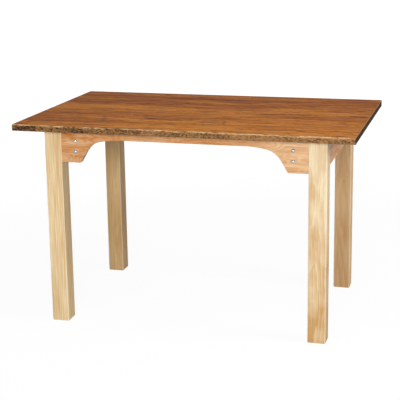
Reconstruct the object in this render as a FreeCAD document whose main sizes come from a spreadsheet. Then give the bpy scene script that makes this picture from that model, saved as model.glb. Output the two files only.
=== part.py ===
import FreeCAD, Part
import math
import os
import Sketcher

Vector = FreeCAD.Vector
Rotation = FreeCAD.Rotation

# Driving sizes in millimetres, sweeps in degrees
SIZES = {
    # Top: a particleboard core between a laminate face and a backer sheet
    "top_length": 1219,
    "top_depth": 762,
    "table_height": 744,
    "core_thickness": 20,
    "laminate_thickness": 1.3,
    "backer_thickness": 1.2,
    "top_corner_radius": 3,
    "laminate_bevel": 0.6,
    # Square legs, planed off at the inner corner where the corner plate pulls on them
    "leg_width": 63.5,
    "leg_edge_radius": 4,
    "foot_chamfer": 1.5,
    "end_overhang": 100,
    "side_overhang": 52,
    "corner_flat": 23,
    "corner_flat_length": 125,
    # Aprons between the legs
    "apron_thickness": 19,
    "apron_setback": 3,
    "long_apron_depth": 118,
    "end_apron_depth": 100,
    # Arched cut-out of a long apron
    "arch_strip_depth": 32,
    "spandrel_width": 71.5,
    "spandrel_corner_radius": 5,
    "arch_crown_radius": 350,
    "arch_crown_sweep": 12,
    "arch_knee_radius": 80,
    "arch_knee_sweep": 48,
    # Carriage bolts through the long aprons, two at each end
    "bolt_from_leg": 53,
    "bolt_from_top": 40,
    "bolt_spacing": 38,
    "bolt_diameter": 6.4,
    "bolt_head_diameter": 12.7,
    "bolt_head_height": 3.4,
    "bolt_neck_length": 3.5,
    "bolt_tail": 3,
    "bolt_tip_chamfer": 0.8,
    "washer_diameter": 16,
    "washer_thickness": 1.6,
    "nut_width": 11.1,
    "nut_thickness": 5.6,
    # Bent steel plates across the inner corners
    "plate_thickness": 2.5,
    "plate_height": 80,
    "plate_gap": 7,
    "plate_bend_radius": 2.5,
    "plate_margin": 16,
    # Screws from the plates into the end aprons, level with the bolts
    "plate_screw_diameter": 5,
    "plate_screw_length": 17,
    "plate_screw_point": 5,
    "plate_screw_head_diameter": 9.5,
    "plate_screw_head_height": 3.2,
    # Hanger bolts from the legs through the plates
    "leg_bolt_diameter": 8,
    "leg_bolt_grip": 45,
    "leg_bolt_point": 9,
    "leg_bolt_spacing": 44,
    "leg_bolt_tail": 4,
    "leg_washer_diameter": 18,
    "leg_washer_thickness": 2,
    "leg_nut_width": 13,
    "leg_nut_thickness": 6.5,
    # Angle brackets and screws that hold the top
    "bracket_arm": 26,
    "bracket_width": 20,
    "bracket_thickness": 2,
    "bracket_bend_radius": 2,
    "bracket_hole_offset": 16,
    "bracket_pitch": 250,
    "bracket_screw_diameter": 4,
    "bracket_screw_length": 16,
    "bracket_screw_point": 4,
    "bracket_screw_head_diameter": 8,
    "bracket_screw_head_height": 2.6,
    # Room left round what passes through a hole
    "hole_clearance": 0.3,
    "thread_clearance": 0.1,
}

# Places worked out from the driving sizes
UNDERSIDE = (
    "(sizes.table_height - sizes.laminate_thickness - sizes.core_thickness"
    " - sizes.backer_thickness)"
)
LEG_FACE_X = "(sizes.top_length / 2 - sizes.end_overhang)"
LEG_FACE_Y = "(sizes.top_depth / 2 - sizes.side_overhang)"
LONG_HALF = f"({LEG_FACE_X} - sizes.leg_width)"
END_HALF = f"({LEG_FACE_Y} - sizes.leg_width)"
APRON_INSET = "(sizes.apron_setback + sizes.apron_thickness)"
LEG_PROUD = f"(sizes.leg_width - {APRON_INSET})"
BOLT_MIDDLE = "(sizes.bolt_from_top + sizes.bolt_spacing / 2)"

# Distances along the diagonal pull of a leg, seen from the corner where the aprons' inner faces would meet
LEG_FLAT = f"({LEG_PROUD} - sizes.corner_flat / 2)"
PLATE_FRONT = f"({LEG_FLAT} + sizes.plate_gap / sqrt(2))"
PLATE_BACK = f"({PLATE_FRONT} + sizes.plate_thickness / sqrt(2))"
LEG_NUT_SEAT = f"({PLATE_BACK} + sizes.leg_washer_thickness / sqrt(2))"
LEG_BOLT_LENGTH = (
    "(sizes.leg_bolt_grip + sizes.plate_gap + sizes.plate_thickness"
    " + sizes.leg_washer_thickness + sizes.leg_nut_thickness + sizes.leg_bolt_tail)"
)

BOLT_RADIUS = "(sizes.bolt_diameter / 2)"
BOLT_LENGTH = (
    "(sizes.apron_thickness + sizes.plate_thickness + sizes.washer_thickness"
    " + sizes.nut_thickness + sizes.bolt_tail)"
)
LEG_BOLT_RADIUS = "(sizes.leg_bolt_diameter / 2)"
PLATE_SCREW_RADIUS = "(sizes.plate_screw_diameter / 2)"
PLATE_SCREW_BITE = "(sizes.plate_screw_length - sizes.plate_thickness + sizes.hole_clearance)"
BRACKET_SCREW_RADIUS = "(sizes.bracket_screw_diameter / 2)"
BRACKET_SCREW_BITE = "(sizes.bracket_screw_length - sizes.bracket_thickness + sizes.hole_clearance)"

# The sides of the frame, a quarter turn apart: the reach of their leg faces, half their apron's length
SIDES = {
    "front": (LEG_FACE_Y, LONG_HALF),
    "right": (LEG_FACE_X, END_HALF),
    "rear": (LEG_FACE_Y, LONG_HALF),
    "left": (LEG_FACE_X, END_HALF),
}
LONG_SIDES = ("front", "rear")
END_SIDES = ("left", "right")

# The corners of the frame, a quarter turn apart: the signs of their x and their y
CORNERS = {
    "front_left": ("-", "-"),
    "front_right": ("+", "-"),
    "rear_right": ("+", "+"),
    "rear_left": ("-", "+"),
}

# Each bracket: the side it is on and its place along that side
BRACKETS = {
    "front_left": ("front", "-sizes.bracket_pitch"),
    "front_middle": ("front", "0"),
    "front_right": ("front", "sizes.bracket_pitch"),
    "rear_left": ("rear", "sizes.bracket_pitch"),
    "rear_middle": ("rear", "0"),
    "rear_right": ("rear", "-sizes.bracket_pitch"),
    "left": ("left", "0"),
    "right": ("right", "0"),
}

# A sketch's numbers for its own axes, and for the ends and centre of its geometry
UPRIGHT, ACROSS = range(-2, 0)
START, END, CENTRE = range(1, 4)

# Two points this near are one point
SAME_PLACE = 0.001

doc = FreeCAD.newDocument("work_table")
sheet = doc.addObject("Spreadsheet::Sheet", "sizes")
for row, (alias, size) in enumerate(SIZES.items(), 1):
    sheet.set(f"A{row}", alias)
    sheet.set(f"B{row}", str(size))
    sheet.setAlias(f"B{row}", alias)
doc.recompute()
nodes = []


def measure(expression):
    """The number that an expression of the sheet's sizes comes to."""
    return float(sheet.evalExpression(expression))


def new_body(label):
    body = doc.addObject("PartDesign::Body", label)
    body.Label = label
    return body


def new_sketch(body, role, lift=None):
    """An empty sketch on one of the body's origin planes, lifted off it by an expression."""
    plane = next(found for found in body.Origin.OriginFeatures if found.Role == role)
    sketch = body.newObject("Sketcher::SketchObject", "outline")
    sketch.AttachmentSupport = [(plane, "")]
    sketch.MapMode = "FlatFace"
    if lift:
        sketch.setExpression("AttachmentOffset.Base.z", lift)
    return sketch


def drive(sketch, constraint, expression):
    """Adds a constraint and binds its value to an expression."""
    index = sketch.addConstraint(constraint)
    name = f"{constraint.Type}_{index}"
    sketch.renameConstraint(index, name)
    sketch.setExpression(f"Constraints.{name}", expression)


def pin(sketch, geometry, point, x, y):
    """Holds a point of the geometry at the expressions x and y from the sketch's origin."""
    for kind, axis, expression in (("DistanceX", UPRIGHT, x), ("DistanceY", ACROSS, y)):
        if expression == "0":
            sketch.addConstraint(Sketcher.Constraint("PointOnObject", geometry, point, axis))
        else:
            reach = measure(expression)
            drive(sketch, Sketcher.Constraint(kind, ACROSS, START, geometry, point, reach), expression)


def add_lines(sketch, corners):
    """Straight lines from each (x, y) corner to the next, joined end to end, with every corner pinned."""
    points = [Vector(measure(x), measure(y)) for x, y in corners]
    lines = [sketch.addGeometry(Part.LineSegment(a, b)) for a, b in zip(points, points[1:])]
    for line, (x, y) in zip(lines, corners):
        pin(sketch, line, START, x, y)
    for line, following in zip(lines, lines[1:]):
        sketch.addConstraint(Sketcher.Constraint("Coincident", line, END, following, START))
    return lines


def polygon(sketch, corners):
    """Closed outline of straight lines."""
    lines = add_lines(sketch, [*corners, corners[0]])
    sketch.addConstraint(Sketcher.Constraint("Coincident", lines[-1], END, lines[0], START))


def rectangle(sketch, left, bottom, right, top):
    polygon(sketch, [(left, bottom), (right, bottom), (right, top), (left, top)])


def circle(sketch, x, y, radius):
    middle = Vector(measure(x), measure(y))
    ring = sketch.addGeometry(Part.Circle(middle, Vector(0, 0, 1), measure(radius)))
    pin(sketch, ring, CENTRE, x, y)
    drive(sketch, Sketcher.Constraint("Radius", ring, measure(radius)), radius)


def extrude(body, kind, sketch, length, reverse=False):
    """A Pad or a Pocket of a sketch."""
    made = body.newObject(f"PartDesign::{kind}", kind.lower())
    made.Profile = sketch
    made.Reversed = reverse
    made.setExpression("Length", length)
    return made


def revolve(body, sketch):
    """A full turn of a sketch about its upright axis."""
    made = body.newObject("PartDesign::Revolution", "turned")
    made.Profile = sketch
    made.ReferenceAxis = (sketch, ["V_Axis"])
    made.Angle = 360
    return made


def mirror(body, originals):
    """Repeats half a piece on the other side of its middle plane."""
    plane = next(found for found in body.Origin.OriginFeatures if found.Role == "YZ_Plane")
    made = body.newObject("PartDesign::Mirrored", "other_half")
    made.Originals = originals
    made.MirrorPlane = (plane, [""])
    body.Tip = made
    return made


def straight_edges(base, axis, places):
    """Names of the edges along one axis (0, 1 or 2), at given expressions of the other two axes."""
    doc.recompute()
    across = [number for number in range(3) if number != axis]
    spots = [tuple(measure(expression) for expression in place_at) for place_at in places]
    names = []
    for index, edge in enumerate(base.Shape.Edges, 1):
        ends = [tuple(vertex.Point[number] for number in across) for vertex in edge.Vertexes]
        if any(all(math.dist(end, spot) < SAME_PLACE for end in ends) for spot in spots):
            names.append(f"Edge{index}")
    return names


def level_edges(base, height):
    """Names of the edges that lie at one height."""
    doc.recompute()
    level = measure(height)
    return [
        f"Edge{index}"
        for index, edge in enumerate(base.Shape.Edges, 1)
        if all(abs(vertex.Point.z - level) < SAME_PLACE for vertex in edge.Vertexes)
    ]


def round_off(body, base, edges, radius):
    made = body.newObject("PartDesign::Fillet", "rounded")
    made.Base = (base, edges)
    made.setExpression("Radius", radius)
    return made


def bevel(body, base, edges, size):
    made = body.newObject("PartDesign::Chamfer", "bevelled")
    made.Base = (base, edges)
    made.setExpression("Size", size)
    return made


def place(piece, x, y, z, rotation=Rotation()):
    """Sets a piece's turn, and binds its position to expressions."""
    piece.Placement = FreeCAD.Placement(Vector(), rotation)
    for axis, expression in zip("xyz", (x, y, z)):
        piece.setExpression(f"Placement.Base.{axis}", expression)


def bore(body, radius, length, start, direction):
    """A round hole from a start point along a slanting direction."""
    hole = body.newObject("PartDesign::SubtractiveCylinder", "bore")
    hole.setExpression("Radius", radius)
    hole.setExpression("Height", length)
    place(hole, *start, Rotation(Vector(0, 0, 1), direction))
    return hole


def on_side(side, along, outward):
    """The x and y of a point along a side, at a distance out from the table's middle."""
    return {
        "front": (along, f"-({outward})"),
        "right": (outward, along),
        "rear": (f"-({along})", outward),
        "left": (f"-({outward})", f"-({along})"),
    }[side]


def quarter_turns(place):
    """Degrees about the vertical to a side or a corner, from the first of its kind."""
    row = SIDES if place in SIDES else CORNERS
    return 90 * list(row).index(place)


def level_turn(place):
    return Rotation(quarter_turns(place), 0, 0)


def facing_out(side):
    """Turns an upright fastener so that its head looks out of a side."""
    return Rotation(quarter_turns(side), 0, 90)


def facing_in(side):
    """Turns an upright fastener so that its head looks in from a side."""
    return Rotation(quarter_turns(side), 0, -90)


def top_sheet(label, thickness, lift):
    """One rectangular layer of the top, with its corners just rounded."""
    body = new_body(label)
    outline = new_sketch(body, "XY_Plane")
    rectangle(outline, "0", "0", "sizes.top_length", "sizes.top_depth")
    slab = extrude(body, "Pad", outline, thickness)
    corners = [(x, y) for x in ("0", "sizes.top_length") for y in ("0", "sizes.top_depth")]
    rounded = round_off(body, slab, straight_edges(slab, 2, corners), "sizes.top_corner_radius")
    place(body, "-sizes.top_length / 2", "-sizes.top_depth / 2", lift)
    nodes.append(body)
    return body, rounded


def drill_top(body, depth):
    """Holes for the bracket screws, from the lower face of a layer."""
    holes = new_sketch(body, "XY_Plane")
    for side, along in BRACKETS.values():
        leg_face, _ = SIDES[side]
        x, y = on_side(side, along, f"{leg_face} - {APRON_INSET} - sizes.bracket_hole_offset")
        circle(
            holes,
            f"sizes.top_length / 2 + {x}",
            f"sizes.top_depth / 2 + {y}",
            f"{BRACKET_SCREW_RADIUS} + sizes.thread_clearance",
        )
    extrude(body, "Pocket", holes, depth, reverse=True)


def make_top():
    backer, _ = top_sheet("top_backer", "sizes.backer_thickness", UNDERSIDE)
    drill_top(backer, "sizes.backer_thickness")
    core, _ = top_sheet("top_core", "sizes.core_thickness", f"{UNDERSIDE} + sizes.backer_thickness")
    drill_top(core, f"{BRACKET_SCREW_BITE} - sizes.backer_thickness")
    face = "sizes.table_height - sizes.laminate_thickness"
    laminate, rounded = top_sheet("top_laminate", "sizes.laminate_thickness", face)
    bevel(laminate, rounded, level_edges(rounded, "sizes.laminate_thickness"), "sizes.laminate_bevel")


def make_leg(corner):
    """Square post with eased edges, a flat across its inner corner and two bores for its hanger bolts."""
    sign_x, sign_y = CORNERS[corner]
    body = new_body(f"leg_{corner}")
    width = "sizes.leg_width"
    section = new_sketch(body, "XY_Plane")
    rectangle(section, "0", "0", width, width)
    post = extrude(body, "Pad", section, UNDERSIDE)
    uprights = straight_edges(post, 2, [(x, y) for x in ("0", width) for y in ("0", width)])
    eased = round_off(body, post, uprights, "sizes.leg_edge_radius")
    bevel(body, eased, level_edges(eased, "0"), "sizes.foot_chamfer")
    inset = "sizes.leg_width - sizes.corner_flat"
    flat = new_sketch(body, "XY_Plane", UNDERSIDE)
    polygon(flat, [(width, inset), (width, width), (inset, width)])
    extrude(body, "Pocket", flat, "sizes.corner_flat_length")
    foot_of_bore = "sizes.leg_width - sizes.corner_flat / 2 - sizes.leg_bolt_grip / sqrt(2)"
    for height in leg_bolt_heights():
        radius = f"{LEG_BOLT_RADIUS} + sizes.thread_clearance"
        length = "sizes.leg_bolt_grip + sizes.corner_flat"
        bore(body, radius, length, (foot_of_bore, foot_of_bore, height), Vector(1, 1, 0))
    place(body, f"{sign_x}{LEG_FACE_X}", f"{sign_y}{LEG_FACE_Y}", "0", level_turn(corner))
    nodes.append(body)


def leg_bolt_heights():
    """Heights of a leg's two hanger bolts, level with the middle of the apron bolts."""
    return [f"({UNDERSIDE} - {BOLT_MIDDLE} {sign} sizes.leg_bolt_spacing / 2)" for sign in "+-"]


def bolt_depths():
    """Depths under the top of the two bolts, or screws, at each end of an apron."""
    return ["sizes.bolt_from_top", "(sizes.bolt_from_top + sizes.bolt_spacing)"]


def arched_outline(sketch, half, depth):
    """Right half of a long apron: toe, slope, knee arc, crown arc and straight strip, tangent in turn."""
    toe = f"{half} - sizes.spandrel_width"
    strip = f"{depth} - sizes.arch_strip_depth"
    outer = add_lines(sketch, [("0", strip), ("0", depth), (half, depth), (half, "0"), (toe, "0")])
    crown = measure("sizes.arch_crown_radius")
    knee = measure("sizes.arch_knee_radius")
    meet = math.radians(measure("sizes.arch_crown_sweep"))
    steep = meet + math.radians(measure("sizes.arch_knee_sweep"))
    crown_top = measure(strip)
    knee_top = crown_top - crown * (1 - math.cos(meet)) + knee * (1 - math.cos(meet))
    slope_top = knee_top - knee * (1 - math.cos(steep))
    knee_middle = measure(toe) - slope_top / math.tan(steep) - knee * math.sin(steep)
    crown_middle = knee_middle - (crown - knee) * math.sin(meet)
    upright = math.pi / 2
    z_axis = Vector(0, 0, 1)
    knee_circle = Part.Circle(Vector(knee_middle, knee_top - knee), z_axis, knee)
    crown_circle = Part.Circle(Vector(crown_middle, crown_top - crown), z_axis, crown)
    knee_start = Vector(knee_middle + knee * math.sin(steep), slope_top)
    slope = sketch.addGeometry(Part.LineSegment(Vector(measure(toe), 0), knee_start))
    knee_arc = sketch.addGeometry(Part.ArcOfCircle(knee_circle, upright - steep, upright - meet))
    crown_arc = sketch.addGeometry(Part.ArcOfCircle(crown_circle, upright - meet, upright))
    level = sketch.addGeometry(Part.LineSegment(Vector(crown_middle, crown_top), Vector(0, crown_top)))
    sketch.addConstraint(Sketcher.Constraint("Coincident", outer[-1], END, slope, START))
    pin(sketch, slope, START, toe, "0")
    sketch.addConstraint(Sketcher.Constraint("Tangent", slope, END, knee_arc, START))
    sketch.addConstraint(Sketcher.Constraint("Tangent", knee_arc, END, crown_arc, START))
    sketch.addConstraint(Sketcher.Constraint("Tangent", crown_arc, END, level, START))
    sketch.addConstraint(Sketcher.Constraint("Coincident", level, END, outer[0], START))
    sketch.addConstraint(Sketcher.Constraint("Horizontal", level))
    drive(sketch, Sketcher.Constraint("Radius", knee_arc, knee), "sizes.arch_knee_radius")
    drive(sketch, Sketcher.Constraint("Radius", crown_arc, crown), "sizes.arch_crown_radius")
    drive(sketch, Sketcher.Constraint("Angle", knee_arc, steep - meet), "sizes.arch_knee_sweep * 1 deg")
    drive(sketch, Sketcher.Constraint("Angle", crown_arc, meet), "sizes.arch_crown_sweep * 1 deg")


def straight_outline(sketch, half, depth):
    """Right half of an end apron."""
    rectangle(sketch, "0", "0", half, depth)


def bolt_holes(body, along, depth):
    """Holes through a long apron for its bolts, with square seats for their necks."""
    holes = new_sketch(body, "XZ_Plane")
    seats = new_sketch(body, "XZ_Plane")
    room = f"({BOLT_RADIUS} + sizes.hole_clearance)"
    for drop in bolt_depths():
        height = f"({depth} - {drop})"
        circle(holes, along, height, room)
        low = (f"{along} - {room}", f"{height} - {room}")
        high = (f"{along} + {room}", f"{height} + {room}")
        rectangle(seats, *low, *high)
    return [
        extrude(body, "Pocket", holes, "sizes.apron_thickness"),
        extrude(body, "Pocket", seats, "sizes.bolt_neck_length + sizes.hole_clearance"),
    ]


def plate_screw_holes(body, along, depth):
    """Blind holes in the inner face of an end apron for its plate screws."""
    pilots = new_sketch(body, "XZ_Plane", "-sizes.apron_thickness")
    for drop in bolt_depths():
        circle(pilots, along, f"{depth} - {drop}", f"{PLATE_SCREW_RADIUS} + sizes.thread_clearance")
    return [extrude(body, "Pocket", pilots, PLATE_SCREW_BITE, reverse=True)]


def make_apron(side, outline, depth, end_holes, bracket_places):
    """Board between two legs, bored at its ends for its plates and along its length for its brackets."""
    leg_face, half = SIDES[side]
    body = new_body(f"apron_{side}")
    board = new_sketch(body, "XZ_Plane")
    outline(board, half, depth)
    halves = [extrude(body, "Pad", board, "sizes.apron_thickness", reverse=True)]
    halves += end_holes(body, f"({half} - sizes.bolt_from_leg)", depth)
    pilots = new_sketch(body, "XZ_Plane", "-sizes.apron_thickness")
    for spot in bracket_places:
        height = f"{depth} - sizes.bracket_hole_offset"
        circle(pilots, spot, height, f"{BRACKET_SCREW_RADIUS} + sizes.thread_clearance")
    halves.append(extrude(body, "Pocket", pilots, BRACKET_SCREW_BITE, reverse=True))
    whole = mirror(body, halves)
    x, y = on_side(side, "0", f"{leg_face} - sizes.apron_setback")
    place(body, x, y, f"{UNDERSIDE} - {depth}", level_turn(side))
    nodes.append(body)
    return body, whole, half


def make_long_apron(side):
    places = ["0", "sizes.bracket_pitch"]
    body, whole, half = make_apron(side, arched_outline, "sizes.long_apron_depth", bolt_holes, places)
    toes = [(f"{sign} * ({half} - sizes.spandrel_width)", "0") for sign in ("1", "-1")]
    round_off(body, whole, straight_edges(whole, 1, toes), "sizes.spandrel_corner_radius")


def make_end_apron(side):
    make_apron(side, straight_outline, "sizes.end_apron_depth", plate_screw_holes, ["0"])


def make_corner_plate(corner):
    """Steel strip bent twice, so that it lies on both aprons and crosses the corner behind the leg."""
    sign_x, sign_y = CORNERS[corner]
    body = new_body(f"corner_plate_{corner}")
    thick = "sizes.plate_thickness"
    outer_bend = f"(2 * {PLATE_FRONT})"
    inner_bend = f"(2 * {PLATE_BACK} - sizes.plate_thickness)"
    bolt = f"({LEG_PROUD} + sizes.bolt_from_leg)"
    end = f"({bolt} + sizes.plate_margin)"
    strip = new_sketch(body, "XY_Plane")
    apron_side = [(end, "0"), (outer_bend, "0"), ("0", outer_bend), ("0", end)]
    nut_side = [(thick, end), (thick, inner_bend), (inner_bend, thick), (end, thick)]
    polygon(strip, apron_side + nut_side)
    sheared = extrude(body, "Pad", strip, "sizes.plate_height")
    inner = straight_edges(sheared, 2, [(thick, inner_bend), (inner_bend, thick)])
    bent = round_off(body, sheared, inner, "sizes.plate_bend_radius")
    outer = straight_edges(bent, 2, [("0", outer_bend), (outer_bend, "0")])
    round_off(body, bent, outer, "sizes.plate_bend_radius + sizes.plate_thickness")
    flanges = [("XZ_Plane", False), ("YZ_Plane", True)]
    if sign_x != sign_y:
        flanges.reverse()
    for (plane, backwards), radius in zip(flanges, (BOLT_RADIUS, PLATE_SCREW_RADIUS)):
        holes = new_sketch(body, plane)
        for sign in "+-":
            height = f"sizes.plate_height / 2 {sign} sizes.bolt_spacing / 2"
            circle(holes, bolt, height, f"{radius} + sizes.hole_clearance")
        extrude(body, "Pocket", holes, thick, reverse=backwards)
    room = f"{LEG_BOLT_RADIUS} + sizes.hole_clearance"
    for sign in "+-":
        height = f"sizes.plate_height / 2 {sign} sizes.leg_bolt_spacing / 2"
        length = "sizes.plate_gap + 2 * sizes.plate_thickness"
        bore(body, room, length, (LEG_FLAT, LEG_FLAT, height), Vector(1, 1, 0))
    place(
        body,
        f"{sign_x}({LEG_FACE_X} - {APRON_INSET})",
        f"{sign_y}({LEG_FACE_Y} - {APRON_INSET})",
        f"{UNDERSIDE} - {BOLT_MIDDLE} - sizes.plate_height / 2",
        level_turn(corner),
    )
    nodes.append(body)


def make_bracket(name):
    """Steel angle under the top: one arm on an apron's inner face, the other on the underside."""
    side, along = BRACKETS[name]
    leg_face, _ = SIDES[side]
    body = new_body(f"top_bracket_{name}")
    arm = "sizes.bracket_arm"
    thick = "sizes.bracket_thickness"
    shelf = f"({arm} - {thick})"
    angle = new_sketch(body, "YZ_Plane")
    polygon(angle, [("0", "0"), (thick, "0"), (thick, shelf), (arm, shelf), (arm, arm), ("0", arm)])
    blank = extrude(body, "Pad", angle, "sizes.bracket_width")
    bent = round_off(body, blank, straight_edges(blank, 0, [(thick, shelf)]), "sizes.bracket_bend_radius")
    heel = straight_edges(bent, 0, [("0", arm)])
    round_off(body, bent, heel, "sizes.bracket_bend_radius + sizes.bracket_thickness")
    room = f"{BRACKET_SCREW_RADIUS} + sizes.hole_clearance"
    middle = "sizes.bracket_width / 2"
    apron_hole = new_sketch(body, "XZ_Plane")
    circle(apron_hole, middle, f"{arm} - sizes.bracket_hole_offset", room)
    extrude(body, "Pocket", apron_hole, thick)
    top_hole = new_sketch(body, "XY_Plane", arm)
    circle(top_hole, middle, "sizes.bracket_hole_offset", room)
    extrude(body, "Pocket", top_hole, thick)
    x, y = on_side(side, f"{along} - {middle}", f"{leg_face} - {APRON_INSET}")
    place(body, x, y, f"{UNDERSIDE} - {arm}", level_turn(side))
    nodes.append(body)


def domed_shank(body, head_radius, head_height, shank):
    """Turned fastener: a shallow dome over its seat at height 0, and a shank given from the seat down."""
    profile = new_sketch(body, "XZ_Plane")
    lines = add_lines(profile, [(head_radius, "0"), *shank, ("0", head_height)])
    rim = measure(head_radius)
    rise = measure(head_height)
    dome = (rim**2 + rise**2) / (2 * rise)
    ball = Part.Circle(Vector(0, rise - dome), Vector(0, 0, 1), dome)
    arc = profile.addGeometry(Part.ArcOfCircle(ball, math.atan2(dome - rise, rim), math.pi / 2))
    profile.addConstraint(Sketcher.Constraint("Coincident", arc, START, lines[0], START))
    profile.addConstraint(Sketcher.Constraint("Coincident", arc, END, lines[-1], END))
    profile.addConstraint(Sketcher.Constraint("PointOnObject", arc, CENTRE, UPRIGHT))
    pin(profile, arc, END, "0", head_height)
    return revolve(body, profile)


def carriage_bolt():
    """Domed bolt with a square neck that keeps it from turning in the apron."""
    body = new_body("carriage_bolt")
    tip = "sizes.bolt_tip_chamfer"
    shank = [
        (BOLT_RADIUS, "0"),
        (BOLT_RADIUS, f"{tip} - {BOLT_LENGTH}"),
        (f"{BOLT_RADIUS} - {tip}", f"-{BOLT_LENGTH}"),
        ("0", f"-{BOLT_LENGTH}"),
    ]
    domed_shank(body, "sizes.bolt_head_diameter / 2", "sizes.bolt_head_height", shank)
    neck = new_sketch(body, "XY_Plane")
    rectangle(neck, f"-{BOLT_RADIUS}", f"-{BOLT_RADIUS}", BOLT_RADIUS, BOLT_RADIUS)
    extrude(body, "Pad", neck, "sizes.bolt_neck_length", reverse=True)
    return body


def round_head_screw(name):
    """Screw with a low dome for a head and a cone point."""
    body = new_body(name)
    radius = f"sizes.{name}_diameter / 2"
    shank = [
        (radius, "0"),
        (radius, f"sizes.{name}_point - sizes.{name}_length"),
        ("0", f"-sizes.{name}_length"),
    ]
    domed_shank(body, f"sizes.{name}_head_diameter / 2", f"sizes.{name}_head_height", shank)
    return body


def hanger_bolt():
    """Headless bolt: a cone point for the leg at height 0, and a chamfered end for the nut."""
    body = new_body("hanger_bolt")
    tip = "sizes.bolt_tip_chamfer"
    profile = new_sketch(body, "XZ_Plane")
    corners = [
        ("0", "0"),
        (LEG_BOLT_RADIUS, "sizes.leg_bolt_point"),
        (LEG_BOLT_RADIUS, f"{LEG_BOLT_LENGTH} - {tip}"),
        (f"{LEG_BOLT_RADIUS} - {tip}", LEG_BOLT_LENGTH),
        ("0", LEG_BOLT_LENGTH),
    ]
    polygon(profile, corners)
    revolve(body, profile)
    return body


def washer(label, diameter, bolt_radius, thickness):
    body = new_body(label)
    rings = new_sketch(body, "XY_Plane")
    circle(rings, "0", "0", f"{diameter} / 2")
    circle(rings, "0", "0", f"{bolt_radius} + sizes.hole_clearance")
    extrude(body, "Pad", rings, thickness)
    return body


def hex_nut(label, width, bolt_radius, thickness):
    """Six-sided nut, its corners at the width across flats divided by the square root of three."""
    body = new_body(label)
    hexagon = new_sketch(body, "XY_Plane")
    flat = f"{width} / 2"
    corner = f"{width} / sqrt(3)"
    half = f"{width} / sqrt(12)"
    right = [(flat, f"-{half}"), (flat, half)]
    left = [(f"-{flat}", half), (f"-{flat}", f"-{half}")]
    polygon(hexagon, [*right, ("0", corner), *left, ("0", f"-{corner}")])
    circle(hexagon, "0", "0", f"{bolt_radius} + sizes.thread_clearance")
    extrude(body, "Pad", hexagon, thickness)
    return body


def group(label, master, spots):
    """One node of separate, identical fasteners: a copy of the master at each (x, y, z, rotation)."""
    copies = []
    for x, y, z, rotation in spots:
        copy = doc.addObject("App::Link", f"{label}_copy")
        copy.LinkedObject = master
        place(copy, x, y, z, rotation)
        copies.append(copy)
    gathered = doc.addObject("Part::Compound", label)
    gathered.Label = label
    gathered.Links = copies
    nodes.append(gathered)


def apron_end_spots(sides, depth_in, face):
    """Places of the bolts or screws at the ends of some aprons, at a depth in from the outer faces."""
    for side in sides:
        leg_face, half = SIDES[side]
        for sign in "+-":
            along = f"{sign}({half} - sizes.bolt_from_leg)"
            x, y = on_side(side, along, f"{leg_face} - sizes.apron_setback - {depth_in}")
            for drop in bolt_depths():
                yield x, y, f"{UNDERSIDE} - {drop}", face(side)


def leg_bolt_spots(diagonal):
    """Places of the hanger bolts, or of their washers and nuts, by their reach along the diagonal."""
    for corner, (sign_x, sign_y) in CORNERS.items():
        x = f"{sign_x}({LEG_FACE_X} - {APRON_INSET} - {diagonal})"
        y = f"{sign_y}({LEG_FACE_Y} - {APRON_INSET} - {diagonal})"
        inward = level_turn(corner).multVec(Vector(1, 1, 0))
        for height in leg_bolt_heights():
            yield x, y, height, Rotation(Vector(0, 0, 1), inward)


def bracket_screw_spots():
    """Places of the screws: one from each bracket into its apron, one up into the top."""
    for side, along in BRACKETS.values():
        leg_face, _ = SIDES[side]
        inner = f"{leg_face} - {APRON_INSET}"
        x, y = on_side(side, along, f"{inner} - sizes.bracket_thickness")
        yield x, y, f"{UNDERSIDE} - sizes.bracket_hole_offset", facing_in(side)
        x, y = on_side(side, along, f"{inner} - sizes.bracket_hole_offset")
        yield x, y, f"{UNDERSIDE} - sizes.bracket_thickness", Rotation(0, 0, 180)


def make_fasteners():
    on_plate = "(sizes.apron_thickness + sizes.plate_thickness)"
    on_washer = f"({on_plate} + sizes.washer_thickness)"
    group("apron_bolts", carriage_bolt(), apron_end_spots(LONG_SIDES, "0", facing_out))
    ring = washer("apron_washer", "sizes.washer_diameter", BOLT_RADIUS, "sizes.washer_thickness")
    group("apron_washers", ring, apron_end_spots(LONG_SIDES, on_plate, facing_in))
    nut = hex_nut("apron_nut", "sizes.nut_width", BOLT_RADIUS, "sizes.nut_thickness")
    group("apron_nuts", nut, apron_end_spots(LONG_SIDES, on_washer, facing_in))
    group("plate_screws", round_head_screw("plate_screw"), apron_end_spots(END_SIDES, on_plate, facing_in))
    foot_of_bolt = f"({LEG_FLAT} - sizes.leg_bolt_grip / sqrt(2))"
    group("leg_bolts", hanger_bolt(), leg_bolt_spots(foot_of_bolt))
    ring = washer("leg_washer", "sizes.leg_washer_diameter", LEG_BOLT_RADIUS, "sizes.leg_washer_thickness")
    group("leg_washers", ring, leg_bolt_spots(PLATE_BACK))
    nut = hex_nut("leg_nut", "sizes.leg_nut_width", LEG_BOLT_RADIUS, "sizes.leg_nut_thickness")
    group("leg_nuts", nut, leg_bolt_spots(LEG_NUT_SEAT))
    group("bracket_screws", round_head_screw("bracket_screw"), bracket_screw_spots())


def check_model():
    """Stops if an object failed, a cut removed nothing or a node's shape is unsound."""
    doc.recompute()
    for item in doc.Objects:
        if {"Invalid", "Error"} & set(item.State):
            raise RuntimeError(f"{item.Label} failed: {item.State}")
        if item.TypeId in ("PartDesign::Pocket", "PartDesign::SubtractiveCylinder"):
            if item.Shape.Volume >= item.BaseFeature.Shape.Volume:
                raise RuntimeError(f"{item.Label} cuts nothing")
    for node in nodes:
        if node.Shape.isNull() or not node.Shape.isValid():
            raise RuntimeError(f"{node.Label} has no sound shape")


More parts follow.
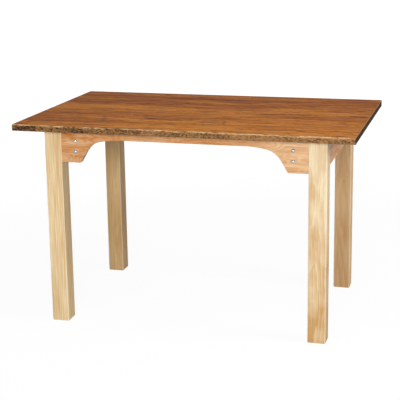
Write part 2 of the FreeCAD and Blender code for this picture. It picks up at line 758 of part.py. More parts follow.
make_top()
for corner in CORNERS:
    make_leg(corner)
    make_corner_plate(corner)
for side in LONG_SIDES:
    make_long_apron(side)
for side in END_SIDES:
    make_end_apron(side)
for name in BRACKETS:
    make_bracket(name)
make_fasteners()
check_model()

os.makedirs("parts", exist_ok=True)
for node in nodes:
    node.Shape.exportStep(f"parts/{node.Label}.step")
print(f"{len(nodes)} nodes written")
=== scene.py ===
import math

import bpy
from mathutils import Matrix, Vector

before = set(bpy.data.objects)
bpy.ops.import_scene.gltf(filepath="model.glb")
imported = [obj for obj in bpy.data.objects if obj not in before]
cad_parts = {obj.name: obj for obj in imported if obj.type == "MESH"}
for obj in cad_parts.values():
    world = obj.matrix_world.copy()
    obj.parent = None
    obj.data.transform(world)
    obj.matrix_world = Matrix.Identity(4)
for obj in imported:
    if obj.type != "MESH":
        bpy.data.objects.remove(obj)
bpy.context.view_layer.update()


# Legs
# Four square posts of pale maple, planed, eased along their edges and lacquered to a satin.
# Each is cut from its own board, so each has its own tone and figure, and its grain runs up it.
# The rear boards' darker tone is partly their own and partly painted shade.

def linear(hex_colour):
    """An sRGB hex colour as linear red, green, blue and alpha."""
    parts = [int(hex_colour[i:i + 2], 16) / 255 for i in (1, 3, 5)]
    return (*(c / 12.92 if c <= 0.04045 else ((c + 0.055) / 1.055) ** 2.4 for c in parts), 1.0)


def add_node(tree, kind, inputs=None, **settings):
    """Adds a node with its settings, and links or fills its inputs, by name or by number.
    In a Mix node for colours, inputs 6 and 7 are the two colours and output 2 is their mix."""
    node = tree.nodes.new(kind)
    for name, value in settings.items():
        setattr(node, name, value)
    for name, value in (inputs or {}).items():
        if isinstance(value, bpy.types.NodeSocket):
            tree.links.new(value, node.inputs[name])
        else:
            node.inputs[name].default_value = value
    return node


def new_material(name):
    """An empty material, its node tree and its output node."""
    material = bpy.data.materials.new(name)
    material.use_nodes = True
    material.node_tree.nodes.clear()
    output = add_node(material.node_tree, "ShaderNodeOutputMaterial")
    return material, material.node_tree, output


def dress(node, material):
    """Gives a CAD node its finish."""
    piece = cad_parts[node]
    piece.data.materials.clear()
    piece.data.materials.append(material)


WAVE_REPEAT = 0.314  # metres from band to band of a Wave node at scale 1


def lacquered_maple(name, pale, dark, pith, foot_darkening, flame_length, fibre_weight):
    """Maple, planed and lacquered: calm, pale wood with soft flames and a satin sheen.

    Growth rings stand 7 mm apart round a pith line beside the post, and slow noise bends them.
    Fibres are 3.5 mm wide and 130 mm long, coarser than real ones, so that they show. Flames of
    brown heartwood are 50 mm wide, and some boards grow darker towards the foot. The eased
    arrises are painted pale, a painted highlight where light catches them."""
    ring_spacing = 0.007
    fibre_width, fibre_length = 0.0035, 0.13
    flame_width = 0.05
    bends_per_metre = (9, 9, 2.2)
    bend_reach = 0.05
    leg_top = 0.7
    ring_weight, flame_weight = 0.13, 0.75
    palest, darkest = 0.2 + fibre_weight / 2, 0.77 + fibre_weight / 2
    arris_facing, side_facing, painted_arris_highlight = 0.8, 0.98, 0.5
    smoothest, roughest = 0.42, 0.58
    ridge_height = 0.0002
    material, tree, output = new_material(name)
    coords = add_node(tree, "ShaderNodeTexCoord").outputs["Object"]
    # Growth rings
    bend = add_node(tree, "ShaderNodeMapping", {"Vector": coords, "Scale": bends_per_metre})
    wander = add_node(
        tree, "ShaderNodeTexNoise", {"Vector": bend.outputs[0], "Scale": 1, "Detail": 2}
    )
    push = add_node(
        tree,
        "ShaderNodeVectorMath",
        {0: wander.outputs["Color"], "Scale": bend_reach},
        operation="SCALE",
    )
    bent = add_node(
        tree, "ShaderNodeVectorMath", {0: coords, 1: push.outputs[0]}, operation="ADD"
    )
    round_pith = add_node(
        tree, "ShaderNodeMapping", {"Vector": bent.outputs[0], "Location": (*pith, 0)}
    )
    rings = add_node(
        tree,
        "ShaderNodeTexWave",
        {
            "Vector": round_pith.outputs[0],
            "Scale": WAVE_REPEAT / ring_spacing,
            "Distortion": 1.5,
            "Detail": 2,
            "Detail Scale": 0.6,
        },
        wave_type="RINGS",
        rings_direction="Z",
        wave_profile="SAW",
    )
    # Fibres, flames and heartwood
    streak = add_node(
        tree,
        "ShaderNodeMapping",
        {"Vector": coords, "Scale": (1 / fibre_width, 1 / fibre_width, 1 / fibre_length)},
    )
    fibre = add_node(
        tree, "ShaderNodeTexNoise", {"Vector": streak.outputs[0], "Scale": 1, "Detail": 4}
    ).outputs["Fac"]
    flame = add_node(
        tree,
        "ShaderNodeMapping",
        {"Vector": coords, "Scale": (1 / flame_width, 1 / flame_width, 1 / flame_length)},
    )
    flames = add_node(
        tree, "ShaderNodeTexNoise", {"Vector": flame.outputs[0], "Scale": 1, "Detail": 3}
    ).outputs["Fac"]
    height = add_node(tree, "ShaderNodeSeparateXYZ", {"Vector": coords}).outputs["Z"]
    blend = add_node(
        tree,
        "ShaderNodeMapRange",
        {"Value": height, "From Min": leg_top, "From Max": 0, "To Max": foot_darkening},
    )
    for figure, weight in (
        (rings.outputs["Fac"], ring_weight),
        (flames, flame_weight),
        (fibre, fibre_weight),
    ):
        blend = add_node(
            tree,
            "ShaderNodeMath",
            {0: figure, 1: weight, 2: blend.outputs[0]},
            operation="MULTIPLY_ADD",
        )
    share = add_node(
        tree,
        "ShaderNodeMapRange",
        {"Value": blend.outputs[0], "From Min": palest, "From Max": darkest},
    )
    grain = add_node(
        tree,
        "ShaderNodeMix",
        {"Factor": share.outputs[0], 6: linear(pale), 7: linear(dark)},
        data_type="RGBA",
    )
    # Eased arrises, which face neither side squarely, painted pale: a painted highlight
    facing = add_node(tree, "ShaderNodeNewGeometry").outputs["Normal"]
    squarely = add_node(tree, "ShaderNodeVectorMath", {0: facing}, operation="ABSOLUTE")
    sides = add_node(tree, "ShaderNodeSeparateXYZ", {"Vector": squarely.outputs[0]})
    square = add_node(
        tree, "ShaderNodeMath", {0: sides.outputs["X"], 1: sides.outputs["Y"]}, operation="MAXIMUM"
    )
    eased = add_node(
        tree,
        "ShaderNodeMapRange",
        {
            "Value": square.outputs[0],
            "From Min": arris_facing,
            "From Max": side_facing,
            "To Min": painted_arris_highlight,
            "To Max": 0,
        },
    )
    colour = add_node(
        tree,
        "ShaderNodeMix",
        {"Factor": eased.outputs[0], 6: grain.outputs[2], 7: linear("#FBEFD4")},
        data_type="RGBA",
    )
    satin = add_node(
        tree, "ShaderNodeMapRange", {"Value": fibre, "To Min": smoothest, "To Max": roughest}
    )
    ridges = add_node(
        tree, "ShaderNodeBump", {"Height": fibre, "Strength": 0.3, "Distance": ridge_height}
    )
    shader = add_node(
        tree,
        "ShaderNodeBsdfPrincipled",
        {
            "Base Color": colour.outputs[2],
            "Roughness": satin.outputs[0],
            "IOR": 1.5,
            "Specular IOR Level": 0.12,
            "Normal": ridges.outputs[0],
        },
    )
    tree.links.new(shader.outputs[0], output.inputs["Surface"])
    return material


# Each board's pale and dark tone, the shift that puts its pith line in the middle of the rings,
# how much darker its foot is than its top, how long its flames are in metres, and how
# strong its fibres. The rear boards' darker tones are partly their own and partly painted shade.
LEG_BOARDS = {
    "leg_front_left": ("#F0D9AF", "#CA9F62", (0.52, 0.36), -0.02, 0.3, 0.9),
    "leg_front_right": ("#F6E8C6", "#C5965B", (-0.484, 0.388), 0.25, 0.11, 0.5),
    "leg_rear_left": ("#DFC090", "#B58A54", (0.44, -0.25), 0.05, 0.3, 0.4),
    "leg_rear_right": ("#E4C599", "#C28D57", (-0.51, -0.24), 0, 0.2, 0.45),
}
for node, board in LEG_BOARDS.items():
    dress(node, lacquered_maple(f"lacquered maple, {node}", *board))


# Aprons
# Boards of birch plywood between the legs, jigsawn to shape and lacquered.
# Their rotary-cut face veneer shows wide, wavy contours along the board, warmer than the legs.

def lacquered_birch(name, turn):
    """Birch plywood, rotary cut and lacquered: warm, wavy veneer, with plies on the sawn edges.

    The contours are level lines of slow noise, drawn out 220 mm along the board and 60 mm across.
    They are boldest at its ends, and lie over pale and warm streaks 120 mm long and 14 mm wide. The
    sheet grows paler, as sapwood, towards its right end. The plies are 3.8 mm apart, coarser than
    real ones, so that they show."""
    hill_length, hill_width = 0.22, 0.06
    contour_phase = 140  # radians of the contours' wave over the whole range of the noise
    streak_length, streak_width = 0.12, 0.014
    calm_reach, bold_reach = 0.25, 0.38
    calm_weight, bold_weight = 0.05, 0.09
    heart_reach, sapwood_reach, sapwood_shift = 0.15, 0.4, -0.22
    palest, darkest = 0.11, 0.74
    ply_spacing = 0.0038
    veneer_facing = 0.6
    smoothest, roughest = 0.42, 0.58
    ridge_height = 0.0002
    material, tree, output = new_material(name)
    coords = add_node(tree, "ShaderNodeTexCoord").outputs["Object"]
    along = add_node(
        tree, "ShaderNodeMapping", {"Vector": coords, "Rotation": (0, 0, -turn)}
    ).outputs[0]
    # Face veneer
    sheet = add_node(
        tree,
        "ShaderNodeMapping",
        {"Vector": along, "Scale": (1 / hill_length, 1 / hill_length, 1 / hill_width)},
    )
    hills = add_node(
        tree,
        "ShaderNodeTexNoise",
        {"Vector": sheet.outputs[0], "Scale": 1, "Detail": 2, "Roughness": 0.4},
    )
    steps = add_node(
        tree, "ShaderNodeMath", {0: hills.outputs["Fac"], 1: contour_phase}, operation="MULTIPLY"
    )
    contours = add_node(tree, "ShaderNodeMath", {0: steps.outputs[0]}, operation="SINE")
    patches = add_node(
        tree,
        "ShaderNodeMapping",
        {"Vector": along, "Scale": (1 / streak_length, 1 / streak_length, 1 / streak_width)},
    )
    tone = add_node(
        tree,
        "ShaderNodeTexNoise",
        {"Vector": patches.outputs[0], "Scale": 1, "Detail": 4, "Roughness": 0.6},
    ).outputs["Fac"]
    reach = add_node(tree, "ShaderNodeSeparateXYZ", {"Vector": along}).outputs["X"]
    outer = add_node(tree, "ShaderNodeMath", {0: reach}, operation="ABSOLUTE")
    boldness = add_node(
        tree,
        "ShaderNodeMapRange",
        {
            "Value": outer.outputs[0],
            "From Min": calm_reach,
            "From Max": bold_reach,
            "To Min": calm_weight,
            "To Max": bold_weight,
        },
    )
    blend = add_node(
        tree,
        "ShaderNodeMath",
        {0: contours.outputs[0], 1: boldness.outputs[0], 2: tone},
        operation="MULTIPLY_ADD",
    )
    sapwood = add_node(
        tree,
        "ShaderNodeMapRange",
        {
            "Value": reach,
            "From Min": heart_reach,
            "From Max": sapwood_reach,
            "To Max": sapwood_shift,
        },
    )
    paler = add_node(
        tree, "ShaderNodeMath", {0: blend.outputs[0], 1: sapwood.outputs[0]}, operation="ADD"
    )
    share = add_node(
        tree,
        "ShaderNodeMapRange",
        {"Value": paler.outputs[0], "From Min": palest, "From Max": darkest},
    )
    veneer = add_node(
        tree,
        "ShaderNodeMix",
        {"Factor": share.outputs[0], 6: linear("#E8C398"), 7: linear("#BC6D1A")},
        data_type="RGBA",
    )
    # Sawn edges
    plies = add_node(
        tree,
        "ShaderNodeTexWave",
        {"Vector": along, "Scale": WAVE_REPEAT / ply_spacing, "Distortion": 0.3},
        bands_direction="Y",
        wave_profile="SIN",
    )
    glue_lines = add_node(
        tree,
        "ShaderNodeMix",
        {"Factor": plies.outputs["Fac"], 6: linear("#A8743F"), 7: linear("#E3BE90")},
        data_type="RGBA",
    )
    facing = add_node(tree, "ShaderNodeNewGeometry").outputs["Normal"]
    turned = add_node(
        tree, "ShaderNodeMapping", {"Vector": facing, "Rotation": (0, 0, -turn)}
    )
    outward = add_node(
        tree, "ShaderNodeSeparateXYZ", {"Vector": turned.outputs[0]}
    ).outputs["Y"]
    broadside = add_node(tree, "ShaderNodeMath", {0: outward}, operation="ABSOLUTE")
    veneered = add_node(
        tree,
        "ShaderNodeMath",
        {0: broadside.outputs[0], 1: veneer_facing},
        operation="GREATER_THAN",
    )
    colour = add_node(
        tree,
        "ShaderNodeMix",
        {"Factor": veneered.outputs[0], 6: glue_lines.outputs[2], 7: veneer.outputs[2]},
        data_type="RGBA",
    )
    satin = add_node(
        tree, "ShaderNodeMapRange", {"Value": tone, "To Min": smoothest, "To Max": roughest}
    )
    ridges = add_node(
        tree, "ShaderNodeBump", {"Height": tone, "Strength": 0.3, "Distance": ridge_height}
    )
    shader = add_node(
        tree,
        "ShaderNodeBsdfPrincipled",
        {
            "Base Color": colour.outputs[2],
            "Roughness": satin.outputs[0],
            "IOR": 1.5,
            "Specular IOR Level": 0.1,
            "Normal": ridges.outputs[0],
        },
    )
    tree.links.new(shader.outputs[0], output.inputs["Surface"])
    return material


long_birch = lacquered_birch("lacquered birch plywood, long aprons", turn=0)
end_birch = lacquered_birch("lacquered birch plywood, end aprons", turn=math.pi / 2)
for node, veneer in (
    ("apron_front", long_birch),
    ("apron_rear", long_birch),
    ("apron_left", end_birch),
    ("apron_right", end_birch),
):
    dress(node, veneer)


# Corner plates and top brackets
# Strips of mild steel, sheared, punched and bent, then zinc plated to a dull silver.
# The plates cross the corners behind the legs and the brackets hold the top.

def zinc_plate(name, dark, pale, grain, dullness):
    """Zinc plating on steel: a soft grey metal, a little mottled.

    Its tone, shine and level all drift with one noise, as wide as the grain of the plating."""
    mottle = 0.07
    noise_low, noise_high = 0.3, 0.7
    crystal_height = 0.0002
    material, tree, output = new_material(name)
    coords = add_node(tree, "ShaderNodeTexCoord").outputs["Object"]
    crystals = add_node(
        tree,
        "ShaderNodeTexNoise",
        {"Vector": coords, "Scale": 1 / grain, "Detail": 3, "Roughness": 0.6},
    ).outputs["Fac"]
    colour = add_node(
        tree,
        "ShaderNodeMix",
        {"Factor": crystals, 6: linear(dark), 7: linear(pale)},
        data_type="RGBA",
    )
    shine = add_node(
        tree,
        "ShaderNodeMapRange",
        {
            "Value": crystals,
            "From Min": noise_low,
            "From Max": noise_high,
            "To Min": dullness - mottle,
            "To Max": dullness + mottle,
        },
    )
    level = add_node(
        tree,
        "ShaderNodeBump",
        {"Height": crystals, "Strength": 0.2, "Distance": crystal_height},
    )
    shader = add_node(
        tree,
        "ShaderNodeBsdfPrincipled",
        {
            "Base Color": colour.outputs[2],
            "Metallic": 1.0,
            "Roughness": shine.outputs[0],
            "Normal": level.outputs[0],
        },
    )
    tree.links.new(shader.outputs[0], output.inputs["Surface"])
    return material


dull_zinc = zinc_plate("dull zinc-plated steel", "#A9ACAF", "#C9CACB", grain=0.006, dullness=0.42)
CORNERS = ("front_left", "front_right", "rear_left", "rear_right")
BRACKETS = (*CORNERS, "front_middle", "rear_middle", "left", "right")
for corner in CORNERS:
    dress(f"corner_plate_{corner}", dull_zinc)
for bracket in BRACKETS:
    dress(f"top_bracket_{bracket}", dull_zinc)


# Fasteners
# Domed carriage bolts, hanger bolts, washers, nuts and round-head screws of cold-formed steel.
# They are zinc plated and left bright.

bright_zinc = zinc_plate(
    "bright zinc-plated steel", "#9BA7B2", "#BBC5CE", grain=0.0015, dullness=0.25
)
for node in (
    "apron_bolts",
    "apron_washers",
    "apron_nuts",
    "leg_bolts",
    "leg_washers",
    "leg_nuts",
    "plate_screws",
    "bracket_screws",
):
    dress(node, bright_zinc)


# Core and backer of the top
# The core is particleboard, flakes and dust pressed with resin, sawn square and stained brown.
# A thin brown phenolic sheet is glued under it, to balance the laminate on top.

def pressed_flakes():
    """Particleboard, sawn and stained: a rough brown edge, flecked with light and dark.

    Flakes 6 mm long and 2.5 mm thick lie flat, coarser than real ones, so that they show. Patches
    of stain 120 mm long lie over them, with painted shade darkening the left and painted light
    brightening the right, and the ends are darkened nearly to black as painted shade. A layer of
    fine, pale dust, 4 mm thick, lies under the laminate."""
    flake_length, flake_thickness = 0.006, 0.0025
    stain_length, stain_height = 0.12, 0.05
    stain_weight = 0.35
    left_end, right_end = -0.5, 0.5
    left_painted_shade, right_painted_light = -0.045, 0.1
    darkest, palest = 0.56, 0.85
    dust_bottom, dust_top = 0.7377, 0.7417
    painted_end_shade = 0.97
    roughest, smoothest = 0.85, 0.6
    sawn_depth = 0.0006
    material, tree, output = new_material("stained particleboard")
    coords = add_node(tree, "ShaderNodeTexCoord").outputs["Object"]
    # Flakes under patches of stain
    lying = add_node(
        tree,
        "ShaderNodeMapping",
        {"Vector": coords, "Scale": (1 / flake_length, 1 / flake_length, 1 / flake_thickness)},
    )
    flakes = add_node(
        tree,
        "ShaderNodeTexNoise",
        {"Vector": lying.outputs[0], "Scale": 1, "Detail": 2, "Roughness": 0.6},
    ).outputs["Fac"]
    wide = add_node(
        tree,
        "ShaderNodeMapping",
        {"Vector": coords, "Scale": (1 / stain_length, 1 / stain_length, 1 / stain_height)},
    )
    stain = add_node(
        tree, "ShaderNodeTexNoise", {"Vector": wide.outputs[0], "Scale": 1, "Detail": 2}
    )
    blotched = add_node(
        tree,
        "ShaderNodeMath",
        {0: stain.outputs["Fac"], 1: stain_weight, 2: flakes},
        operation="MULTIPLY_ADD",
    )
    place = add_node(tree, "ShaderNodeSeparateXYZ", {"Vector": coords})
    # Painted shade darkens the edge towards the left and painted light brightens it towards the
    # right
    left_shade_right_light = add_node(
        tree,
        "ShaderNodeMapRange",
        {
            "Value": place.outputs["X"],
            "From Min": left_end,
            "From Max": right_end,
            "To Min": left_painted_shade,
            "To Max": right_painted_light,
        },
    )
    blend = add_node(
        tree, "ShaderNodeMath", {0: blotched.outputs[0], 1: left_shade_right_light.outputs[0]}, operation="ADD"
    )
    share = add_node(
        tree,
        "ShaderNodeMapRange",
        {"Value": blend.outputs[0], "From Min": darkest, "From Max": palest},
    )
    flaky = add_node(
        tree,
        "ShaderNodeMix",
        {"Factor": share.outputs[0], 6: linear("#3B2918"), 7: linear("#AA7C50")},
        data_type="RGBA",
    )
    # Dust layer
    rising = add_node(
        tree,
        "ShaderNodeMapRange",
        {"Value": place.outputs["Z"], "From Min": dust_bottom, "From Max": dust_top},
    )
    dusty = add_node(
        tree, "ShaderNodeMath", {0: rising.outputs[0], 1: share.outputs[0]}, operation="MULTIPLY"
    )
    layered = add_node(
        tree,
        "ShaderNodeMix",
        {"Factor": dusty.outputs[0], 6: flaky.outputs[2], 7: linear("#D2A87C")},
        data_type="RGBA",
    )
    # Ends darkened nearly to black: painted shade
    facing = add_node(tree, "ShaderNodeNewGeometry").outputs["Normal"]
    sideways = add_node(tree, "ShaderNodeSeparateXYZ", {"Vector": facing}).outputs["X"]
    endwise = add_node(tree, "ShaderNodeMath", {0: sideways}, operation="ABSOLUTE")
    soaked = add_node(
        tree, "ShaderNodeMath", {0: endwise.outputs[0], 1: painted_end_shade}, operation="MULTIPLY"
    )
    # Near-black colour of the ends, a painted shade
    stained = add_node(
        tree,
        "ShaderNodeMix",
        {"Factor": share.outputs[0], 6: linear("#140C05"), 7: linear("#2E1E10")},
        data_type="RGBA",
    )
    colour = add_node(
        tree,
        "ShaderNodeMix",
        {"Factor": soaked.outputs[0], 6: layered.outputs[2], 7: stained.outputs[2]},
        data_type="RGBA",
    )
    rough = add_node(
        tree, "ShaderNodeMapRange", {"Value": flakes, "To Min": roughest, "To Max": smoothest}
    )
    sawn = add_node(
        tree, "ShaderNodeBump", {"Height": flakes, "Strength": 0.5, "Distance": sawn_depth}
    )
    shader = add_node(
        tree,
        "ShaderNodeBsdfPrincipled",
        {
            "Base Color": colour.outputs[2],
            "Roughness": rough.outputs[0],
            "IOR": 1.5,
            "Specular IOR Level": 0.04,
            "Normal": sawn.outputs[0],
        },
    )
    tree.links.new(shader.outputs[0], output.inputs["Surface"])
    return material


def phenolic_sheet():
    """Phenolic backer, paper soaked in resin and sanded: a dull, dark brown, clouded by fibres
    12 mm long."""
    fibre_length = 0.012
    smoothest, roughest = 0.5, 0.7
    sanded_depth = 0.0002
    material, tree, output = new_material("brown phenolic backer")
    coords = add_node(tree, "ShaderNodeTexCoord").outputs["Object"]
    fibres = add_node(
        tree,
        "ShaderNodeTexNoise",
        {"Vector": coords, "Scale": 1 / fibre_length, "Detail": 4, "Roughness": 0.7},
    ).outputs["Fac"]
    colour = add_node(
        tree,
        "ShaderNodeMix",
        {"Factor": fibres, 6: linear("#5A3C28"), 7: linear("#7C5840")},
        data_type="RGBA",
    )
    dull = add_node(
        tree, "ShaderNodeMapRange", {"Value": fibres, "To Min": smoothest, "To Max": roughest}
    )
    sanded = add_node(
        tree, "ShaderNodeBump", {"Height": fibres, "Strength": 0.2, "Distance": sanded_depth}
    )
    shader = add_node(
        tree,
        "ShaderNodeBsdfPrincipled",
        {
            "Base Color": colour.outputs[2],
            "Roughness": dull.outputs[0],
            "IOR": 1.55,
            "Normal": sanded.outputs[0],
        },
    )
    tree.links.new(shader.outputs[0], output.inputs["Surface"])
    return material


dress("top_core", pressed_flakes())
dress("top_backer", phenolic_sheet())


# Laminate
# The top face is a sheet of decorative laminate, glued down and trimmed with a small bevel.
# Its printed wood grain runs along the table, and the bevel bares a paler line of its paper core.

def printed_grain():
    """Melamine laminate over a wood-grain print: matt, reddish brown, streaked along the table.

    The print is noise drawn out along x. Its bands are 90 mm wide, its streaks 13 mm, its dark
    marks 11 mm and its pores 6 mm, coarser than real ones, so that they show. Broken level lines of
    slow noise and a few eyes give the figure, and painted shade darkens it towards the rear. The
    trimmed arris is chipped, pale along the front and rear and golden at the ends."""
    sway_length, sway_width = 0.5, 0.2
    sway_reach = 0.05
    band_length, band_width = 1.1, 0.09
    band_start = (0.4, 0.7, 0)
    streak_length, streak_width = 0.2, 0.013
    streak_weight = 1.5
    rear_edge, rear_painted_shade = 0.38, -0.1
    darkest, palest = 0.995, 1.475
    mark_length, mark_width = 0.11, 0.011
    mark_faint, mark_full = 0.67, 0.72
    contour_phase = 70  # radians of the lines' wave over the whole range of the noise
    line_faint, line_full = 0.6, 0.9
    line_broken, line_whole = 0.5, 0.4
    eye_length, eye_width = 0.17, 0.06
    eye_level, eye_line, eye_ink = 0.765, 0.012, 0.7
    pore_length, pore_width, pore_ink = 0.02, 0.006, 0.55
    pore_faint, pore_full = 0.53, 0.7
    ink = 0.85
    chip_length = 0.03
    chip_dark, chip_pale = 0.4, 0.6
    flat_facing = 0.9
    smoothest, roughest = 0.52, 0.68
    pressed_depth = 0.0001
    material, tree, output = new_material("wood-grain melamine laminate")
    coords = add_node(tree, "ShaderNodeTexCoord").outputs["Object"]
    # Bands and streaks
    slow = add_node(
        tree,
        "ShaderNodeMapping",
        {"Vector": coords, "Scale": (1 / sway_length, 1 / sway_width, 1)},
    )
    sway = add_node(
        tree, "ShaderNodeTexNoise", {"Vector": slow.outputs[0], "Scale": 1, "Detail": 1}
    )
    push = add_node(
        tree,
        "ShaderNodeVectorMath",
        {0: sway.outputs["Color"], 1: (0, sway_reach, 0)},
        operation="MULTIPLY",
    )
    swayed = add_node(
        tree, "ShaderNodeVectorMath", {0: coords, 1: push.outputs[0]}, operation="ADD"
    ).outputs[0]
    band = add_node(
        tree,
        "ShaderNodeMapping",
        {
            "Vector": swayed,
            "Scale": (1 / band_length, 1 / band_width, 1),
            "Location": band_start,
        },
    )
    bands = add_node(
        tree, "ShaderNodeTexNoise", {"Vector": band.outputs[0], "Scale": 1, "Detail": 2}
    )
    streak = add_node(
        tree,
        "ShaderNodeMapping",
        {"Vector": swayed, "Scale": (1 / streak_length, 1 / streak_width, 1)},
    )
    streaks = add_node(
        tree,
        "ShaderNodeTexNoise",
        {"Vector": streak.outputs[0], "Scale": 1, "Detail": 4, "Roughness": 0.7},
    ).outputs["Fac"]
    streaked = add_node(
        tree,
        "ShaderNodeMath",
        {0: streaks, 1: streak_weight, 2: bands.outputs["Fac"]},
        operation="MULTIPLY_ADD",
    )
    depth = add_node(tree, "ShaderNodeSeparateXYZ", {"Vector": coords}).outputs["Y"]
    # Painted shade: the print darkens towards the rear
    drift = add_node(
        tree,
        "ShaderNodeMapRange",
        {"Value": depth, "From Min": 0, "From Max": rear_edge, "To Max": rear_painted_shade},
    )
    blend = add_node(
        tree, "ShaderNodeMath", {0: streaked.outputs[0], 1: drift.outputs[0]}, operation="ADD"
    )
    share = add_node(
        tree,
        "ShaderNodeMapRange",
        {"Value": blend.outputs[0], "From Min": darkest, "From Max": palest},
    )
    ground = add_node(
        tree,
        "ShaderNodeMix",
        {"Factor": share.outputs[0], 6: linear("#813F1E"), 7: linear("#CC8133")},
        data_type="RGBA",
    )
    # Marks, lines, eyes and pores
    mark = add_node(
        tree,
        "ShaderNodeMapping",
        {"Vector": swayed, "Scale": (1 / mark_length, 1 / mark_width, 1)},
    )
    marks = add_node(
        tree, "ShaderNodeTexNoise", {"Vector": mark.outputs[0], "Scale": 1, "Detail": 1}
    )
    dark = add_node(
        tree,
        "ShaderNodeMapRange",
        {"Value": marks.outputs["Fac"], "From Min": mark_faint, "From Max": mark_full},
    )
    steps = add_node(
        tree, "ShaderNodeMath", {0: sway.outputs["Fac"], 1: contour_phase}, operation="MULTIPLY"
    )
    waves = add_node(tree, "ShaderNodeMath", {0: steps.outputs[0]}, operation="SINE")
    contour = add_node(
        tree,
        "ShaderNodeMapRange",
        {"Value": waves.outputs[0], "From Min": line_faint, "From Max": line_full},
    )
    broken = add_node(
        tree,
        "ShaderNodeMapRange",
        {"Value": streaks, "From Min": line_broken, "From Max": line_whole},
    )
    lines = add_node(
        tree, "ShaderNodeMath", {0: contour.outputs[0], 1: broken.outputs[0]}, operation="MULTIPLY"
    )
    knot = add_node(
        tree,
        "ShaderNodeMapping",
        {"Vector": swayed, "Scale": (1 / eye_length, 1 / eye_width, 1)},
    )
    knots = add_node(
        tree, "ShaderNodeTexNoise", {"Vector": knot.outputs[0], "Scale": 1, "Detail": 0}
    )
    eyes = add_node(
        tree,
        "ShaderNodeMath",
        {0: knots.outputs["Fac"], 1: eye_level, 2: eye_line},
        operation="COMPARE",
    )
    faint = add_node(
        tree, "ShaderNodeMath", {0: eyes.outputs[0], 1: eye_ink}, operation="MULTIPLY"
    )
    fine = add_node(
        tree,
        "ShaderNodeMapping",
        {"Vector": swayed, "Scale": (1 / pore_length, 1 / pore_width, 1)},
    )
    pore = add_node(
        tree, "ShaderNodeTexNoise", {"Vector": fine.outputs[0], "Scale": 1, "Detail": 1}
    ).outputs["Fac"]
    pores = add_node(
        tree,
        "ShaderNodeMapRange",
        {"Value": pore, "From Min": pore_faint, "From Max": pore_full, "To Max": pore_ink},
    )
    figure = dark
    for drawn in (lines, faint, pores):
        figure = add_node(
            tree, "ShaderNodeMath", {0: figure.outputs[0], 1: drawn.outputs[0]}, operation="MAXIMUM"
        )
    inked = add_node(tree, "ShaderNodeMath", {0: figure.outputs[0], 1: ink}, operation="MULTIPLY")
    face = add_node(
        tree,
        "ShaderNodeMix",
        {"Factor": inked.outputs[0], 6: ground.outputs[2], 7: linear("#4C291E")},
        data_type="RGBA",
    )
    # Trimmed arris
    normal = add_node(tree, "ShaderNodeNewGeometry").outputs["Normal"]
    facing = add_node(tree, "ShaderNodeSeparateXYZ", {"Vector": normal})
    flat = add_node(
        tree, "ShaderNodeMath", {0: facing.outputs["Z"], 1: flat_facing}, operation="GREATER_THAN"
    )
    endwise = add_node(tree, "ShaderNodeMath", {0: facing.outputs["X"]}, operation="ABSOLUTE")
    chips = add_node(
        tree, "ShaderNodeTexNoise", {"Vector": coords, "Scale": 1 / chip_length, "Detail": 2}
    )
    rubbed = add_node(
        tree,
        "ShaderNodeMapRange",
        {"Value": chips.outputs["Fac"], "From Min": chip_dark, "From Max": chip_pale},
    )
    chipped = add_node(
        tree,
        "ShaderNodeMix",
        {"Factor": rubbed.outputs[0], 6: linear("#8A5A30"), 7: linear("#E8C594")},
        data_type="RGBA",
    )
    arris = add_node(
        tree,
        "ShaderNodeMix",
        {"Factor": endwise.outputs[0], 6: chipped.outputs[2], 7: linear("#C8924E")},
        data_type="RGBA",
    )
    colour = add_node(
        tree,
        "ShaderNodeMix",
        {"Factor": flat.outputs[0], 6: arris.outputs[2], 7: face.outputs[2]},
        data_type="RGBA",
    )
    matt = add_node(
        tree, "ShaderNodeMapRange", {"Value": pore, "To Min": smoothest, "To Max": roughest}
    )
    pressed = add_node(
        tree, "ShaderNodeBump", {"Height": pore, "Strength": 0.15, "Distance": pressed_depth}
    )
    shader = add_node(
        tree,
        "ShaderNodeBsdfPrincipled",
        {
            "Base Color": colour.outputs[2],
            "Roughness": matt.outputs[0],
            "IOR": 1.5,
            "Specular IOR Level": 0.03,
            "Normal": pressed.outputs[0],
        },
    )
    tree.links.new(shader.outputs[0], output.inputs["Surface"])
    return material


dress("top_laminate", printed_grain())


# Studio
# A pale floor and an even white surround. Soft lamps stand before the table, over it, at its right
# and low behind it, and the camera in front, above and to the right of it.

def seen_itself(tree):
    """1 for camera, glossy and transmission rays, which see the stage, and 0 for all others."""
    path = add_node(tree, "ShaderNodeLightPath")
    mirrored = add_node(
        tree,
        "ShaderNodeMath",
        {0: path.outputs["Is Camera Ray"], 1: path.outputs["Is Glossy Ray"]},
        operation="MAXIMUM",
    )
    seen = add_node(
        tree,
        "ShaderNodeMath",
        {0: mirrored.outputs[0], 1: path.outputs["Is Transmission Ray"]},
        operation="MAXIMUM",
    )
    return seen.outputs[0]


def pale_floor():
    """Matt white paint, brightened where it is seen, so that it meets the surround and keeps the
    shadow near the table."""
    near, far = 1.5, 5
    near_share, far_share = 0.86, 1
    glow_strength = 1.09
    material, tree, output = new_material("matt white studio floor")
    paint = add_node(tree, "ShaderNodeBsdfDiffuse", {"Color": linear("#BEBEBE")})
    glow = add_node(
        tree, "ShaderNodeEmission", {"Color": linear("#FFFFFF"), "Strength": glow_strength}
    )
    coords = add_node(tree, "ShaderNodeTexCoord").outputs["Object"]
    away = add_node(tree, "ShaderNodeVectorMath", {0: coords}, operation="LENGTH")
    fade = add_node(
        tree,
        "ShaderNodeMapRange",
        {
            "Value": away.outputs["Value"],
            "From Min": near,
            "From Max": far,
            "To Min": near_share,
            "To Max": far_share,
        },
    )
    share = add_node(
        tree, "ShaderNodeMath", {0: seen_itself(tree), 1: fade.outputs[0]}, operation="MULTIPLY"
    )
    mixed = add_node(
        tree, "ShaderNodeMixShader", {0: share.outputs[0], 1: paint.outputs[0], 2: glow.outputs[0]}
    )
    tree.links.new(mixed.outputs[0], output.inputs["Surface"])
    return material


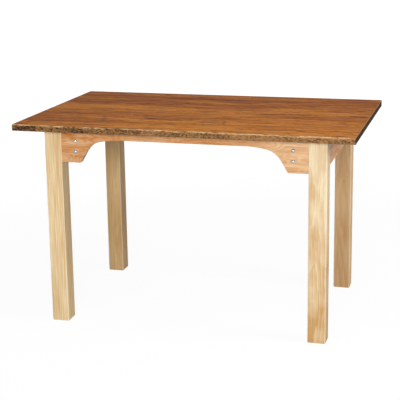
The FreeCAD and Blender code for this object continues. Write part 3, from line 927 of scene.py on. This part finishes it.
FLOOR_HALF = 80.0
floor_corners = [
    (x * FLOOR_HALF, y * FLOOR_HALF, 0) for x, y in ((-1, -1), (1, -1), (1, 1), (-1, 1))
]
floor_mesh = bpy.data.meshes.new("studio_floor")
floor_mesh.from_pydata(floor_corners, [], [(0, 1, 2, 3)])
floor = bpy.data.objects.new("studio_floor", floor_mesh)
floor.data.materials.append(pale_floor())
bpy.context.scene.collection.objects.link(floor)

LIGHT_OF_SURROUND = 0.2
SEEN_SURROUND = 1.0
world = bpy.data.worlds.new("white_surround")
world.use_nodes = True
sky = world.node_tree
sky.nodes.clear()
strength = add_node(
    sky,
    "ShaderNodeMapRange",
    {"Value": seen_itself(sky), "To Min": LIGHT_OF_SURROUND, "To Max": SEEN_SURROUND},
)
surround = add_node(
    sky, "ShaderNodeBackground", {"Color": linear("#FFFFFF"), "Strength": strength.outputs[0]}
)
ending = add_node(sky, "ShaderNodeOutputWorld")
sky.links.new(surround.outputs[0], ending.inputs["Surface"])
bpy.context.scene.world = world

# Each lamp's width and height in metres, its watts, its place and the point that it faces.
LAMPS = {
    "front_key": (2.2, 1.4, 181, (0.9, -4.9, 1.7), (0, -0.2, 0.5)),
    "top_light": (1.2, 1.2, 9, (0.2, -0.7, 2.35), (0, -0.1, 0.744)),
    "right_light": (1.6, 1.6, 86, (4.0, -0.4, 2.7), (0.2, 0, 0.5)),
    "rear_fill": (2.0, 0.5, 50, (-1.9, 3.1, 0.4), (0, 0.2, 0.4)),
}
for name, (width, height, watts, at, towards) in LAMPS.items():
    lamp_data = bpy.data.lights.new(name, "AREA")
    lamp_data.shape = "RECTANGLE"
    lamp_data.size = width
    lamp_data.size_y = height
    lamp_data.energy = watts
    lamp = bpy.data.objects.new(name, lamp_data)
    lamp.location = at
    lamp.rotation_euler = (Vector(towards) - Vector(at)).to_track_quat("-Z", "Y").to_euler()
    bpy.context.scene.collection.objects.link(lamp)

# The lens and its centre are in pixels of the picture, the camera's place is in metres, and its
# turns are in radians.
FRAME_PIXELS = 400
FOCAL_PIXELS = 1065.7
CENTRE_PIXELS = (208.84, 164.0)
CAMERA_AT = (1.0506, -3.773, 1.4428)
YAW, PITCH, ROLL = 0.2695, -0.2257, -0.0134
camera_data = bpy.data.cameras.new("front_right_camera")
camera_data.sensor_width = 36.0
camera_data.lens = camera_data.sensor_width * FOCAL_PIXELS / FRAME_PIXELS
camera_data.shift_x = 0.5 - CENTRE_PIXELS[0] / FRAME_PIXELS
camera_data.shift_y = CENTRE_PIXELS[1] / FRAME_PIXELS - 0.5
camera = bpy.data.objects.new("front_right_camera", camera_data)
camera.matrix_world = (
    Matrix.Translation(CAMERA_AT)
    @ Matrix.Rotation(YAW, 4, "Z")
    @ Matrix.Rotation(math.pi / 2 + PITCH, 4, "X")
    @ Matrix.Rotation(ROLL, 4, "Z")
)
bpy.context.scene.collection.objects.link(camera)
bpy.context.scene.camera = camera
bpy.context.scene.view_settings.view_transform = "Standard"
